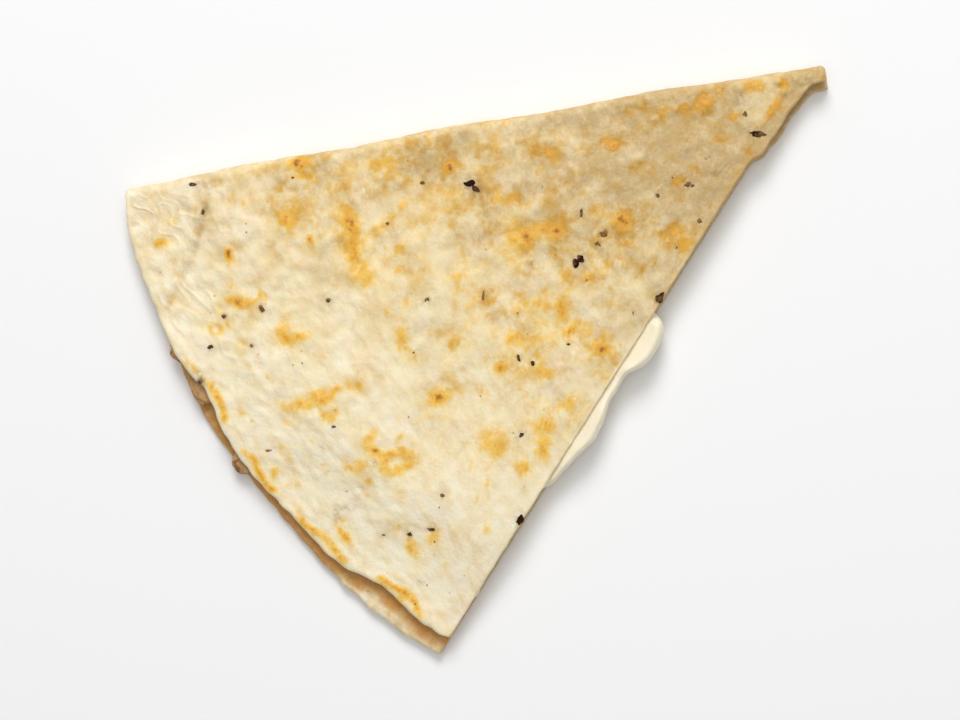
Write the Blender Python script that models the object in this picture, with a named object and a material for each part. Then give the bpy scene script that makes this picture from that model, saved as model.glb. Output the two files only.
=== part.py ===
"""A quesadilla wedge: a flour tortilla folded over melted cheese and cut to a wedge.

Metres, +Z up. The folded side runs along X at the back, the tip points to +X and the
cut side faces the front right. The wedge lies flat on its lower leaf, at z = 0.

Plan places are given by two lengths: `along`, measured from the tip along the fold, and
`inward`, measured from the fold towards the front. Seen from the tip they are also a
radius and an angle, with the fold at angle 0 and the cut at CUT_ANGLE.
"""

import math

import bmesh
import bpy
import numpy as np

MM = 0.001

# Plan
CUT_ANGLE = math.radians(48.2)
FOLD_SIDE = 150 * MM  # the radius of a 300 mm tortilla
UPPER_CUT_SIDE = 143.3 * MM  # the upper leaf lies a little back from the lower one
LOWER_CUT_SIDE = 147.3 * MM
LOWER_RIM_TURN = math.radians(10)  # past here the lower rim runs free of the upper
LOWER_BULGE = 1.4 * MM  # the lower rim stands out most where the filling shows
BULGE_ANGLE, BULGE_SPREAD = math.radians(18), math.radians(9)
# shallow bays in the upper rim: angle, width and depth
RIM_BAYS = [(18.6, 2.2, 1.5 * MM), (31, 5.5, 0.8 * MM), (40.8, 3.0, 2.0 * MM)]
FOLD_BULGE = 0.9 * MM  # the fold bows outwards between its ends
CORNER_BLUNT = 3.6 * MM  # the corner at the end of the fold is blunt by this much
NUB_LENGTH = 3.4 * MM  # torn nub of the fold past the tip
UPPER_NUB, LOWER_NUB = 3.2 * MM, 4.5 * MM  # how deep each leaf is at the nub
UPPER_FLARE, LOWER_FLARE = 2.3 * MM, 3.4 * MM  # the torn tip is wider than the cut
FLARE_END = 15 * MM
TONGUE = 1.6 * MM  # a torn tongue where the flare ends
TONGUE_PLACE = 12.8 * MM
TONGUE_WIDTH = 1.8 * MM

# Thickness
LEAF = 1.9 * MM
FOLD_DEPTH = 2.4 * MM  # from the fold's back to where the leaves run flat
FILL_HEIGHT = 4.5 * MM  # between the leaves, in the middle of the wedge
FOLD_HEIGHT = 3.2 * MM  # between the leaves, at the fold
TIP_HEIGHT = 2.2 * MM
RIM_HEIGHT = 1.1 * MM
CHUNK_RIM_HEIGHT = 3.3 * MM  # where filling holds the rims apart
RIM_SLOPE = 24 * MM  # how far in from the rim the filling is at full height
FOLD_SLOPE = 20 * MM
TIP_SLOPE = 34 * MM
LUMP = 0.45 * MM
RIM_LIFT = 0.7 * MM  # the lower rim curls up off the surface in places
RIM_LIFT_WIDTH = 11 * MM
CUT_ROUND, RIM_ROUND = 0.35 * MM, 0.85 * MM  # how far the edges are rounded

# Cheese
GAP = 0.3 * MM  # left between pieces that touch
CHEESE_FROM_FOLD = 4.8 * MM
CHEESE_FROM_TIP = 10 * MM
CHEESE_FROM_RIM = 10 * MM
CHEESE_BEHIND_CUT = 0.6 * MM
CHEESE_BACK_ROUND = 0.8 * MM
OOZE_START, OOZE_END = 62 * MM, 107.5 * MM  # along the cut, from the tip
OOZE_NECK = 1.7 * MM  # how far the melt stands out of the cut between its bulges
# bulges of the melt: distance from the tip, width, and how far they stand out
OOZE_BULGES = [(68.8 * MM, 6 * MM, 5.2 * MM), (90 * MM, 7.5 * MM, 3.9 * MM)]
OOZE_NOSE, OOZE_FADE = 3.5 * MM, 6 * MM  # lengths of its blunt start and thin end

# Chunks of browned filling that peek out at the rim: angle, outer radius, size (round the
# rim, in from the rim, high) and turn
CHUNKS = [
    (14.4, 150.2 * MM, (5.6 * MM, 6.0 * MM, 2.3 * MM), 8),
    (17.8, 149.5 * MM, (8.8 * MM, 5.0 * MM, 2.3 * MM), -4),
    (25.1, 149.9 * MM, (6.0 * MM, 7.0 * MM, 1.9 * MM), 12),
]
CHUNK_BLOCKY = 0.72  # below 1, a chunk is more a block than a ball
CHUNK_SPREAD = math.radians(8.5)

# Facets
CUT_STEPS = 24
CHEESE_STEPS = 40  # along the cut
RIM_STEPS = 18
LEAF_STEPS = 12
BEND_STEPS = 7
LIP_STEPS = 3

COLOURS = {
    "tortilla": ((0.80, 0.66, 0.42, 1), 0.75),
    "cheese": ((0.84, 0.72, 0.47, 1), 0.35),
    "filling": ((0.35, 0.20, 0.09, 1), 0.6),
}


def smooth(x):
    """0 below 0, 1 above 1, and an even S-curve between."""
    x = np.clip(x, 0, 1)
    return x * x * (3 - 2 * x)


def mix(a, b, share):
    return a + (b - a) * share


def bump(x, centre, width):
    """A bell of height 1."""
    return np.exp(-(((x - centre) / width) ** 2))


def upper_rim(angle):
    """Radius of the upper leaf's rim, seen from the tip, with slow ripples."""
    share = angle / CUT_ANGLE
    ripple = (0.45 * np.sin(13 * angle + 0.6) + 0.25 * np.sin(31 * angle)) * MM
    for middle, width, depth in RIM_BAYS:
        ripple = ripple - depth * bump(np.degrees(angle), middle, width)
    return mix(FOLD_SIDE, UPPER_CUT_SIDE, share) + ripple * smooth(6 * share)


def lower_rim(angle):
    """Radius of the lower leaf's rim: it meets the upper one at the fold."""
    ripple = 0.3 * np.sin(17 * angle + 2) * MM
    ripple = ripple + LOWER_BULGE * bump(angle, BULGE_ANGLE, BULGE_SPREAD)
    turn = smooth(angle / LOWER_RIM_TURN)
    return mix(upper_rim(angle), LOWER_CUT_SIDE + ripple, turn)


def cut_edge(along, flare, nub):
    """How far inward the cut lies: a straight line, wider and ragged at the torn tip."""
    torn = 1 - smooth(2 * along / FLARE_END - 1)
    ragged = 0.3 * MM * np.sin(along / (1.3 * MM)) * torn
    tongue = TONGUE * bump(along, TONGUE_PLACE, TONGUE_WIDTH)
    straight = along * math.tan(CUT_ANGLE) + flare * torn + ragged + tongue
    return np.logaddexp(straight / MM, nub / MM) * MM


def fold_line(along):
    """Where the fold's back lies: it bows outwards between its ends."""
    share = np.clip(along / FOLD_SIDE, 0, 1)
    ripple = 0.3 * MM * np.sin(21 * share) * smooth(5 * share) * smooth(5 - 5 * share)
    return -FOLD_BULGE * np.sin(math.pi * share) ** 0.5 + ripple


def cavity(along, inward):
    """Free height between the leaves: full in the middle, low at the rim, fold and tip."""
    radius = np.hypot(along, inward)
    angle = np.clip(np.arctan2(inward, along), 0, CUT_ANGLE)
    rim = mix(RIM_HEIGHT, CHUNK_RIM_HEIGHT, bump(angle, math.radians(19), CHUNK_SPREAD))
    full = smooth((upper_rim(angle) - radius) / RIM_SLOPE)
    lump = np.sin(along / (9 * MM) + 1.1) * np.sin(inward / (7.5 * MM) + 0.4)
    lump = LUMP * (lump + 0.6 * np.sin(along / (15 * MM) - inward / (12 * MM)))
    middle = mix(FOLD_HEIGHT, FILL_HEIGHT + lump, smooth(inward / FOLD_SLOPE))
    middle = mix(TIP_HEIGHT, middle, smooth(radius / TIP_SLOPE))
    return mix(rim, middle, full)


def lower_lift(along, inward):
    """How far the lower leaf's rim curls up off the surface."""
    radius = np.hypot(along, inward)
    angle = np.clip(np.arctan2(inward, along), 0, CUT_ANGLE)
    near = smooth(1 - (lower_rim(angle) - radius) / RIM_LIFT_WIDTH)
    return RIM_LIFT * near * (0.5 + 0.5 * np.sin(9 * angle + 0.8))


def leaf_edges():
    """Plan points of the upper edge, lower edge and fold, from the tip to the corner."""
    corner = math.asin(CORNER_BLUNT / FOLD_SIDE)
    angle = np.linspace(CUT_ANGLE, corner, RIM_STEPS + 1)[1:]
    share = np.linspace(0, 1, CUT_STEPS + 1) ** 1.3
    edges = []
    for rim, flare, nub in (
        (upper_rim, UPPER_FLARE, UPPER_NUB),
        (lower_rim, LOWER_FLARE, LOWER_NUB),
    ):
        along = mix(-NUB_LENGTH, rim(CUT_ANGLE) * math.cos(CUT_ANGLE), share)
        cut = np.stack([along, cut_edge(along, flare, nub)], 1)
        round_rim = rim(angle)[:, None] * np.stack([np.cos(angle), np.sin(angle)], 1)
        edges.append(np.concatenate([cut, round_rim]))
    upper, lower = edges
    straight = np.linspace(upper[CUT_STEPS, 0], FOLD_SIDE - 0.2 * MM, RIM_STEPS + 1)[1:]
    along = np.concatenate([upper[: CUT_STEPS + 1, 0], straight])
    fold = np.stack([along, fold_line(along) + FOLD_DEPTH], 1)
    return upper, lower, fold


def outward(edge):
    """Unit plan vectors that point out of the wedge, square to its edge."""
    run = np.gradient(edge, axis=0)
    run /= np.linalg.norm(run, axis=1)[:, None]
    return np.stack([-run[:, 1], run[:, 0]], 1)


def across(start, end, steps):
    """Plan points in even steps from start to end, for every section at once."""
    share = np.linspace(0, 1, steps + 1)[None, :, None]
    return start[:, None, :] * (1 - share) + end[:, None, :] * share


def with_height(plan, height):
    return np.concatenate([plan, height[..., None]], axis=-1)


def surface_normals(grid):
    """Unit normals of a grid of points, from its two running directions."""
    normal = np.cross(np.gradient(grid, axis=1), np.gradient(grid, axis=0))
    return normal / np.linalg.norm(normal, axis=-1)[..., None]


def place(points):
    """Turns along, inward and height into X, Y and Z."""
    return points * np.array([-1, -1, 1])


def make_object(name, points, faces, material):
    mesh = bpy.data.meshes.new(name)
    mesh.from_pydata(place(points).tolist(), [], faces)
    shell = bmesh.new()
    shell.from_mesh(mesh)
    bmesh.ops.triangulate(shell, faces=shell.faces)
    bmesh.ops.recalc_face_normals(shell, faces=shell.faces)
    shell.to_mesh(mesh)
    shell.free()
    mesh.shade_smooth()
    mesh.set_sharp_from_angle(angle=math.radians(40))
    mesh.materials.append(material)
    made = bpy.data.objects.new(name, mesh)
    bpy.context.collection.objects.link(made)
    return made


def band(name, outer, inner, near_lip, far_lip, material):
    """Closes two facing grids to a solid: a lip along both long edges, a cap at both ends.

    The lips run from outer to inner at the far edge, and from inner to outer at the near.
    """
    loops = np.concatenate([outer, far_lip, inner[:, ::-1], near_lip], axis=1)
    count, size = loops.shape[:2]
    width, lip = outer.shape[1], far_lip.shape[1]
    faces = []
    for i in range(count - 1):
        for j in range(size):
            k = (j + 1) % size
            a, b = i * size, (i + 1) * size
            faces.append((a + j, a + k, b + k, b + j))
    for first in (0, (count - 1) * size):
        out = [first + j for j in range(width)]
        back = [first + 2 * width + lip - 1 - j for j in range(width)]
        faces += [
            (out[j], out[j + 1], back[j + 1], back[j]) for j in range(width - 1)
        ]
        faces.append([out[-1], *range(first + width, first + width + lip), back[-1]])
        faces.append([back[0], *range(first + 2 * width + lip, first + size), out[0]])
    return make_object(name, loops.reshape(-1, 3), faces, material)


def half_round(start, end, out, depth, steps=LIP_STEPS):
    """Points of a half round lip from start to end that stands out by depth."""
    turn = np.linspace(0, math.pi, steps + 2)[1:-1][None, :, None]
    middle, half = (start + end) / 2, (start - end) / 2
    push = np.pad(out, ((0, 0), (0, 1))) * depth[:, None]
    return (
        middle[:, None] + half[:, None] * np.cos(turn) + push[:, None] * np.sin(turn)
    )


def build_tortilla(material):
    """The folded tortilla: a sheet of even thickness along a U-shaped path."""
    upper, lower, fold = leaf_edges()
    under = across(lower, fold, LEAF_STEPS)
    under = with_height(under, LEAF / 2 + lower_lift(under[..., 0], under[..., 1]))
    over = across(fold, upper, LEAF_STEPS)
    over_height = 1.5 * LEAF + cavity(over[..., 0], over[..., 1])
    over = with_height(over, over_height + lower_lift(over[..., 0], over[..., 1]))
    turn = np.linspace(-math.pi / 2, math.pi / 2, BEND_STEPS + 2)[1:-1][None, :]
    low, high = under[:, -1, 2:], over[:, 0, 2:]
    inward = fold[:, 1:] - (FOLD_DEPTH - LEAF / 2) * np.cos(turn)
    height = (low + high) / 2 + (high - low) / 2 * np.sin(turn)
    along = np.repeat(fold[:, :1], BEND_STEPS, axis=1)
    bend = np.stack([along, inward, height], -1)
    path = np.concatenate([under, bend, over], axis=1)

    normal = surface_normals(path) * LEAF / 2
    outer, inner = path - normal, path + normal
    steps = np.arange(len(path))
    depth = mix(CUT_ROUND, RIM_ROUND, smooth((steps - CUT_STEPS + 1) / 2))
    depth *= mix(0.3, 1, smooth((len(path) - 1 - steps) / 2))
    near = half_round(inner[:, 0], outer[:, 0], outward(lower), depth)
    far = half_round(outer[:, -1], inner[:, -1], outward(upper), depth)
    return band("tortilla", outer, inner, near, far, material)


def ooze(radius):
    """How far the cheese stands out of the cut: two bulges, a blunt nose, a thin end."""
    body = OOZE_NECK
    for middle, width, reach in OOZE_BULGES:
        body = body + (reach - OOZE_NECK) * bump(radius, middle, width)
    nose = 1 - np.clip((radius - OOZE_START) / OOZE_NOSE, 0, 1)
    ends = np.sqrt(1 - nose**2) * smooth((OOZE_END - radius) / OOZE_FADE)
    return CHEESE_BEHIND_CUT / 2 + body * ends


def build_cheese(material):
    """The melted layer: flat between the leaves, swelling out of the cut side."""
    reach = UPPER_CUT_SIDE - CHEESE_FROM_RIM
    along = np.linspace(CHEESE_FROM_TIP, reach * math.cos(CUT_ANGLE), CHEESE_STEPS + 1)
    cut = np.stack([along, along * math.tan(CUT_ANGLE) - CHEESE_BEHIND_CUT], 1)
    angle = np.linspace(CUT_ANGLE, math.radians(2.6), RIM_STEPS + 1)[1:]
    inset = CHEESE_FROM_RIM + 1.2 * MM * np.sin(19 * angle)
    inset = mix(CHEESE_FROM_RIM, inset, smooth((CUT_ANGLE - angle) / 0.2))
    rim = (upper_rim(angle) - inset)[:, None]
    rim = rim * np.stack([np.cos(angle), np.sin(angle)], 1)
    edge = np.concatenate([cut, rim])
    back = np.linspace(along[-1], FOLD_SIDE - CHEESE_FROM_RIM - 1.5 * MM, RIM_STEPS + 1)
    back = np.concatenate([along, back[1:]])
    back = np.stack([back, fold_line(back) + CHEESE_FROM_FOLD], 1)

    plan = across(back, edge, LEAF_STEPS)
    lift = lower_lift(plan[..., 0], plan[..., 1])
    room = cavity(plan[..., 0], plan[..., 1])
    bottom = with_height(plan, LEAF + GAP + lift)
    top = with_height(plan, LEAF + room - GAP + lift)
    radius = np.hypot(edge[:, 0], edge[:, 1])
    on_cut = smooth((CHEESE_STEPS - 0.5 - np.arange(len(edge))) / 2)
    depth = mix(0.8 * MM, ooze(radius), on_cut)
    back_out = np.tile([0.0, -1.0], (len(edge), 1))
    back_depth = np.full(len(edge), CHEESE_BACK_ROUND)
    near = half_round(top[:, 0], bottom[:, 0], back_out, back_depth)
    far = half_round(bottom[:, -1], top[:, -1], outward(edge), depth, steps=5)
    return band("melted_cheese", bottom, top, near, far, material)


def build_chunk(number, angle, reach, size, turn, material):
    """One craggy chunk between the rims, its outer end at the given radius."""
    angle, turn = math.radians(angle), math.radians(turn)
    ball = bmesh.new()
    bmesh.ops.create_icosphere(ball, subdivisions=3, radius=0.5)
    points = np.array([v.co[:] for v in ball.verts])
    faces = [[v.index for v in f.verts] for f in ball.faces]
    ball.free()
    crag = np.sin(points @ (9, 4, 5) + number) * np.sin(points @ (-3, 11, 6) + 2 * number)
    points = np.sign(points) * np.abs(points) ** CHUNK_BLOCKY * (1 + 0.16 * crag[:, None])
    points /= points.max(0) - points.min(0)
    points = points * (size[1], size[0], size[2])
    turned = angle + turn
    points[:, :2] = np.stack(
        [
            points[:, 0] * math.cos(turned) - points[:, 1] * math.sin(turned),
            points[:, 0] * math.sin(turned) + points[:, 1] * math.cos(turned),
        ],
        1,
    )
    out = np.array([math.cos(angle), math.sin(angle)])
    points[:, :2] += out * (reach - (points[:, :2] @ out).max())
    middle = out * (reach - size[1] / 2)
    lift = lower_lift(*middle)
    points[:, 2] += LEAF + lift + cavity(*middle) / 2
    return make_object(f"filling_chunk_{number}", points, faces, material)


def centre_over_origin(objects):
    """Moves everything together, so that the origin is under the middle of its box."""
    corners = np.array([v.co[:] for made in objects for v in made.data.vertices])
    low, high = corners.min(0), corners.max(0)
    shift = (-(low[0] + high[0]) / 2, -(low[1] + high[1]) / 2, -low[2])
    for made in objects:
        made.location = shift


def new_material(name):
    colour, roughness = COLOURS[name]
    material = bpy.data.materials.new(name)
    material.use_nodes = True
    shader = material.node_tree.nodes["Principled BSDF"]
    shader.inputs["Base Color"].default_value = colour
    shader.inputs["Roughness"].default_value = roughness
    shader.inputs["Metallic"].default_value = 0
    return material


def main():
    for old in list(bpy.data.objects):
        bpy.data.objects.remove(old)
    filling = new_material("filling")
    made = [build_tortilla(new_material("tortilla")), build_cheese(new_material("cheese"))]
    for number, chunk in enumerate(CHUNKS, 1):
        made.append(build_chunk(number, *chunk, filling))
    centre_over_origin(made)


main()
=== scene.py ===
import math

import bmesh
import bpy
import numpy as np
from mathutils import Matrix, Vector


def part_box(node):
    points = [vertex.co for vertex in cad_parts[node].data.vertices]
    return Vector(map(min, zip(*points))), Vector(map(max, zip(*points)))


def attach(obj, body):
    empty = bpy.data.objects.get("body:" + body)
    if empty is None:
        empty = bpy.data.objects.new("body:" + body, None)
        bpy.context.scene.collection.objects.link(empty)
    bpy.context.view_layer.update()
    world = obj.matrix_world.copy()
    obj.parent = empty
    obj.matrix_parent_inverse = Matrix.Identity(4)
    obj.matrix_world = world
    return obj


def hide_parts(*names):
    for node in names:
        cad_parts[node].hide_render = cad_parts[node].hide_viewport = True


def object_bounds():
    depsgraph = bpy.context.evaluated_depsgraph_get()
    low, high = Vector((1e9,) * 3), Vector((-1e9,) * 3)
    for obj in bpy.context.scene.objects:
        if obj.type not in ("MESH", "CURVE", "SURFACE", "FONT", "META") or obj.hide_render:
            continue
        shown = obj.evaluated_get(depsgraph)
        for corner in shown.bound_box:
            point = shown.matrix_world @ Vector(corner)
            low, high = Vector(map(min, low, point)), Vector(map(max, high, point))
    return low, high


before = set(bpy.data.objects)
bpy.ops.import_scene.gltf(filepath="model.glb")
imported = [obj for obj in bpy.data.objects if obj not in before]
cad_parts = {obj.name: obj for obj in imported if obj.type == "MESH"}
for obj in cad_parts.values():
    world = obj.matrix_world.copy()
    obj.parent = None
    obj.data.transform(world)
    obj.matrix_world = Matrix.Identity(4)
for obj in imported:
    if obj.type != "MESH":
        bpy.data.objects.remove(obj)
cadLow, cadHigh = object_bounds()  # the box round the parts from model.glb
mm = 0.001


def smooth(x):
    # 0 below 0, 1 above 1, an even S-curve between
    x = np.clip(x, 0, 1)
    return x * x * (3 - 2 * x)


def mix(a, b, share):
    return a + (b - a) * share


def bell(x, middle, width):
    # exp(-((x - middle) / width)^2): a bell of height 1
    return np.exp(-(((x - middle) / width) ** 2))


def waves(points, size, seed, count=26):
    # plane waves about `size` long in random directions, summed to a spread of 1 about 0
    dice = np.random.default_rng(seed)
    way = dice.normal(size=(count, points.shape[-1]))
    way /= np.linalg.norm(way, axis=1)[:, None]
    way *= 2 * math.pi / (size * dice.uniform(0.65, 1.5, (count, 1)))
    phase = dice.uniform(0, 2 * math.pi, count)
    return sum(np.sin(points @ way[k] + phase[k]) for k in range(count)) / math.sqrt(count / 2)


def plan(along, inward):
    return np.stack([along, inward], -1)


# the wedge's main sizes in mm, as `along` from the tip and `inward` from the fold
wedge = {
    "cutAngle": math.radians(48.2),
    "foldSide": 150,
    "upperCutSide": 143.3,
    "lowerCutSide": 147.3,
    "lowerTurn": math.radians(10),  # past here the lower rim runs free of the upper
    "lowerBulge": (18, 9, 1.4),  # degrees, width in degrees, how far out in mm
    "rimBays": [(18.6, 2.2, 1.5), (31, 5.5, 0.8), (40.8, 3.0, 2.0)],  # the same, cut in
    "foldBulge": 0.9,
    "cornerBlunt": 3.6,
    "nubLength": 3.4,
    "upperNub": 3.2,
    "lowerNub": 4.5,
    "upperFlare": 2.3,
    "lowerFlare": 3.4,
    "flareEnd": 15,
    "tongue": 1.6,
    "tonguePlace": 12.8,
    "tongueWidth": 1.8,
    "leaf": 1.9,
    "foldDepth": 2.4,
    "fillHeight": 4.5,
    "foldHeight": 3.2,
    "tipHeight": 2.2,
    "rimHeight": 1.1,
    "chunkRimHeight": 3.3,
    "rimSlope": 24,
    "foldSlope": 20,
    "tipSlope": 34,
    "lump": 0.45,
    "rimLift": 0.7,
    "rimLiftWidth": 11,
    "cutDip": 0.35,  # the knife pressed the upper leaf down by this much
}


def upperRim(angle):
    # radius from the tip: an even change from fold to cut, ripples, bays and fine nicks
    ripple = 0.45 * np.sin(13 * angle + 0.6) + 0.25 * np.sin(31 * angle)
    for middle, width, depth in wedge["rimBays"]:
        ripple = ripple - depth * bell(np.degrees(angle), middle, width)
    nick = 0.1 * waves(150 * angle[..., None], 5, 3)
    radius = mix(wedge["foldSide"], wedge["upperCutSide"], angle / wedge["cutAngle"])
    return radius + (ripple + nick) * smooth(6 * angle / wedge["cutAngle"])


def lowerRim(angle):
    # one with the upper rim at the fold, and further out towards the cut
    ripple = 0.3 * np.sin(17 * angle + 2) + 0.1 * waves(150 * angle[..., None], 6, 4)
    middle, width, reach = wedge["lowerBulge"]
    ripple = ripple + reach * bell(np.degrees(angle), middle, width)
    turn = smooth(angle / wedge["lowerTurn"])
    return mix(upperRim(angle), wedge["lowerCutSide"] + ripple, turn)


def cutEdge(along, flare, nub):
    # a straight line that is wider and ragged at the torn tip, and never nearer than nub
    torn = 1 - smooth(2 * along / wedge["flareEnd"] - 1)
    ragged = 0.3 * np.sin(along / 1.3) * torn + 0.05 * waves(along[..., None], 2.6, 5)
    tongue = wedge["tongue"] * bell(along, wedge["tonguePlace"], wedge["tongueWidth"])
    line = along * math.tan(wedge["cutAngle"]) + flare * torn
    return np.logaddexp(line + ragged + tongue, nub)


def foldLine(along):
    # the back of the fold: a flat arch with slow ripples
    share = np.clip(along / wedge["foldSide"], 0, 1)
    ripple = 0.3 * np.sin(21 * share) * smooth(5 * share) * smooth(5 - 5 * share)
    return -wedge["foldBulge"] * np.sin(math.pi * share) ** 0.5 + ripple


def fromTip(along, inward):
    # radius and angle as seen from the tip
    return np.hypot(along, inward), np.clip(np.arctan2(inward, along), 0, wedge["cutAngle"])


def fromCut(along, inward):
    # distance to the straight cut
    return along * math.sin(wedge["cutAngle"]) - inward * math.cos(wedge["cutAngle"])


def cavity(along, inward):
    # free height between the leaves: full in the middle, low at the rim, fold and tip
    radius, angle = fromTip(along, inward)
    held = bell(angle, math.radians(19), math.radians(8.5))
    rim = mix(wedge["rimHeight"], wedge["chunkRimHeight"], held)
    lump = np.sin(along / 9 + 1.1) * np.sin(inward / 7.5 + 0.4)
    lump = wedge["lump"] * (lump + 0.6 * np.sin(along / 15 - inward / 12))
    toFold = smooth(inward / wedge["foldSlope"])
    middle = mix(wedge["foldHeight"], wedge["fillHeight"] + lump, toFold)
    middle = mix(wedge["tipHeight"], middle, smooth(radius / wedge["tipSlope"]))
    height = mix(rim, middle, smooth((upperRim(angle) - radius) / wedge["rimSlope"]))
    dip = smooth(1 - fromCut(along, inward) / 5) * smooth(radius / 40)
    return height - wedge["cutDip"] * dip


def lowerLift(along, inward):
    # how far the lower leaf's rim curls up off the board
    radius, angle = fromTip(along, inward)
    near = smooth(1 - (lowerRim(angle) - radius) / wedge["rimLiftWidth"])
    return wedge["rimLift"] * near * (0.5 + 0.5 * np.sin(9 * angle + 0.8))


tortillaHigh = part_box("tortilla")[1] / mm
foldBack = foldLine(np.linspace(0, wedge["foldSide"], 400)).min()
tip = (tortillaHigh.x - wedge["nubLength"], tortillaHigh.y + foldBack, 0)


def place(points):
    # along, inward and height in mm to X, Y and Z in metres
    return (points * (-1, -1, 1) + tip) * mm


def unplace(points):
    # X, Y and Z in metres back to along, inward and height in mm
    return (np.asarray(points) / mm - tip) * (-1, -1, 1)


def addPiece(name, points, faces, masks, material):
    # puts worked-out points and faces into a mesh, and each mask into it as an attribute
    mesh = bpy.data.meshes.new(name)
    mesh.from_pydata(place(points).tolist(), [], faces)
    for mask, values in masks.items():
        layer = mesh.attributes.new(mask, "FLOAT", "POINT")
        layer.data.foreach_set("value", np.asarray(values, np.float32).ravel())
    shell = bmesh.new()
    shell.from_mesh(mesh)
    bmesh.ops.recalc_face_normals(shell, faces=shell.faces)
    shell.to_mesh(mesh)
    shell.free()
    mesh.shade_smooth()
    mesh.materials.append(material)
    piece = bpy.data.objects.new(name, mesh)
    bpy.context.scene.collection.objects.link(piece)
    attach(piece, "root")
    print(name, len(mesh.vertices), "points")
    return piece


def loopFaces(count, size):
    # quads between neighbouring closed loops of `size` points
    here = np.arange(size)
    after = (here + 1) % size
    start = np.arange(count - 1)[:, None] * size
    quads = [start + here, start + after, start + size + after, start + size + here]
    return np.stack(quads, -1).reshape(-1, 4).tolist()


def bandFaces(count, outer, lip, step):
    # a closed shell from loops of outer points, a lip, every `step`th point back and a lip
    inner = (outer - 1) // step + 1
    size = outer + inner + 2 * lip
    faces = loopFaces(count, size)
    for first in (0, (count - 1) * size):
        back = first + outer + lip + inner - 1
        for k in range(inner - 1):
            faces.append([first + step * k + j for j in range(step + 1)] + [back - k - 1, back - k])
        faces.append([first + outer - 1 + j for j in range(lip + 2)])
        faces.append([back + j for j in range(lip + 1)] + [first])
    return faces


def across(start, end, share):
    # plan points between start and end of every section, at the given shares
    share = share[None, :, None]
    return start[:, None, :] * (1 - share) + end[:, None, :] * share


def withHeight(points, height):
    return np.concatenate([points, height[..., None]], -1)


def surfaceNormals(grid):
    # unit cross product of the grid's two running directions
    normal = np.cross(np.gradient(grid, axis=1), np.gradient(grid, axis=0))
    return normal / np.linalg.norm(normal, axis=-1)[..., None]


def outwardOf(edge):
    # unit plan vectors square to an edge, out of the wedge
    run = np.gradient(edge, axis=0)
    run /= np.linalg.norm(run, axis=1)[:, None]
    return np.stack([-run[:, 1], run[:, 0]], 1)


def roundLip(start, end, out, depth, steps):
    # half an ellipse from start to end that stands out by depth
    turn = np.linspace(0, math.pi, steps + 2)[1:-1][None, :, None]
    push = np.pad(out, ((0, 0), (0, 1))) * depth[:, None]
    middle = (start + end)[:, None] / 2
    half = (start - end)[:, None] / 2
    return middle + half * np.cos(turn) + push[:, None] * np.sin(turn)


def fullLip(start, end, out, depth, steps):
    # the same with its sine and cosine raised to a power below 1, so that it is squarer
    turn = np.linspace(0, math.pi, steps + 2)[1:-1]
    rise = (np.sign(np.cos(turn)) * np.abs(np.cos(turn)) ** cheese["fullness"])[None, :, None]
    reach = (np.sin(turn) ** cheese["fullness"])[None, :, None]
    push = np.pad(out, ((0, 0), (0, 1))) * depth[:, None]
    middle, half = (start + end)[:, None] / 2, (start - end)[:, None] / 2
    return middle + half * rise + push[:, None] * reach


def ballPoints(rows, columns):
    # a unit ball by latitude and longitude, its poles first and last
    tilt = np.linspace(0, math.pi, rows + 2)[1:-1][:, None]
    turn = np.arange(columns)[None, :] * 2 * math.pi / columns
    middle = [np.sin(tilt) * np.cos(turn), np.sin(tilt) * np.sin(turn), np.cos(tilt) + 0 * turn]
    return np.concatenate([[(0, 0, 1)], np.stack(middle, -1).reshape(-1, 3), [(0, 0, -1)]])


def ballFaces(rows, columns, first=0):
    faces = [[first + 1 + v for v in face] for face in loopFaces(rows, columns)]
    last = first + 1 + rows * columns
    for k in range(columns):
        after = (k + 1) % columns
        faces.append([first, first + 1 + k, first + 1 + after])
        faces.append([last, last - columns + after, last - columns + k])
    return faces


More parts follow.
